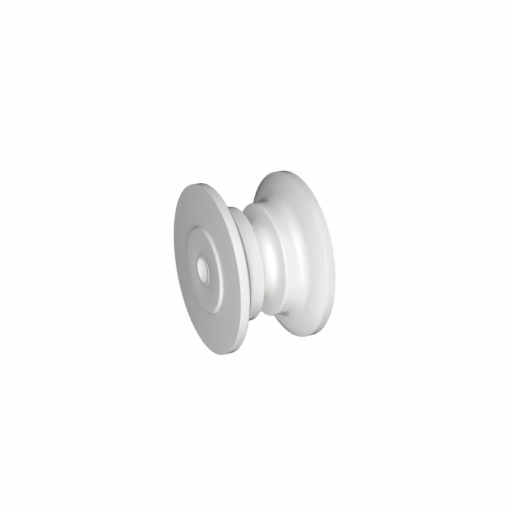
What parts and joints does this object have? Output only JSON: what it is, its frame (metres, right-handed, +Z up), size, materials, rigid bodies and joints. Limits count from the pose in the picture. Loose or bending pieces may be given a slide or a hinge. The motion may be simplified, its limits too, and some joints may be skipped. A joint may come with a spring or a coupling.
{
  "type": "bow roller",
  "caption": "White nylon bow roller on a white acetal bush: wide bevelled flanges and a stepped, grooved barrel guide an anchor chain or rope over the bow.",
  "frame": {"origin": "centre of the bore, midway between the flanges", "axes": "+Y along the bore, the axis the roller spins about; +Z up, +X across the bow fitting in the chain's direction"},
  "size_m": [0.07, 0.043, 0.07],
  "materials": {
    "nylon": "white nylon, turned and satin",
    "acetal": "white acetal tube, faced, its ends lightly rounded"
  },
  "bodies": {
    "bush": {"spacer_bush": "acetal"},
    "roller": {"roller_body": "nylon"}
  },
  "joints": [
    {"name": "roller_spin", "type": "hinge", "parent": "bush", "child": "roller", "pos_m": [0, 0, 0], "axis": [0, 1, 0], "continuous": true}
  ]
}
